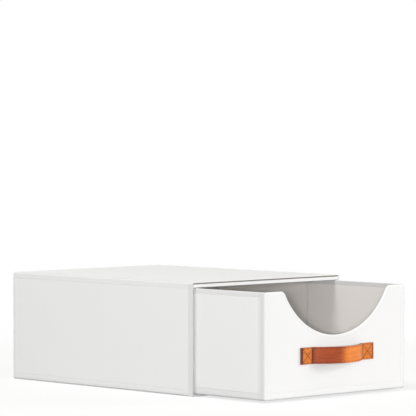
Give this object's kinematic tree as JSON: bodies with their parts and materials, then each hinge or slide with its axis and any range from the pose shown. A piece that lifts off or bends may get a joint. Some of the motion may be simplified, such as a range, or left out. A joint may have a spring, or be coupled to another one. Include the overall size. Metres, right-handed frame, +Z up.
{
  "type": "stackable drawer box",
  "caption": "Cloth-covered board sleeve with a sliding drawer, a half-round scoop in its front and a leather pull strap; it stacks on its own kind.",
  "frame": {"origin": "middle of the sleeve's underside", "axes": "+X across the mouth, the mouth and the drawer's front face -Y, +Z up"},
  "size_m": [0.305, 0.564, 0.164],
  "materials": {
    "cover_cloth": "smooth matt off-white cloth with a fine weave",
    "edge_binding": "off-white binding tape",
    "stiff_board": "plain grey board",
    "lining_cloth": "soft matt non-woven lining",
    "strap_leather": "tan leather, stitched in dark brown"
  },
  "bodies": {
    "sleeve": {"sleeve_left_cover": "cover_cloth", "sleeve_right_cover": "cover_cloth", "sleeve_top_cover": "cover_cloth", "sleeve_bottom_cover": "cover_cloth", "sleeve_back_cover": "cover_cloth", "sleeve_left_board": "stiff_board", "sleeve_right_board": "stiff_board", "sleeve_top_board": "stiff_board", "sleeve_bottom_board": "stiff_board", "sleeve_back_board": "stiff_board", "sleeve_left_lining": "lining_cloth", "sleeve_right_lining": "lining_cloth", "sleeve_top_lining": "lining_cloth", "sleeve_bottom_lining": "lining_cloth", "sleeve_back_lining": "lining_cloth", "mouth_strip_left": "edge_binding", "mouth_strip_right": "edge_binding", "mouth_strip_bottom": "edge_binding", "mouth_strip_top": "edge_binding"},
    "drawer": {"drawer_front_cover": "cover_cloth", "drawer_back_cover": "cover_cloth", "drawer_left_cover": "cover_cloth", "drawer_right_cover": "cover_cloth", "drawer_bottom_cover": "cover_cloth", "drawer_front_board": "stiff_board", "drawer_back_board": "stiff_board", "drawer_left_fore_board": "stiff_board", "drawer_left_rear_board": "stiff_board", "drawer_right_fore_board": "stiff_board", "drawer_right_rear_board": "stiff_board", "drawer_base_board": "stiff_board", "drawer_front_lining": "lining_cloth", "drawer_back_lining": "lining_cloth", "drawer_left_lining": "lining_cloth", "drawer_right_lining": "lining_cloth", "drawer_base_lining": "lining_cloth", "handle_outer_ply": "strap_leather", "handle_inner_ply": "strap_leather"}
  },
  "joints": [
    {"name": "drawer_slide", "type": "slide", "parent": "sleeve", "child": "drawer", "axis": [0, -1, 0], "range_m": [-0.14, 0.262]}
  ]
}
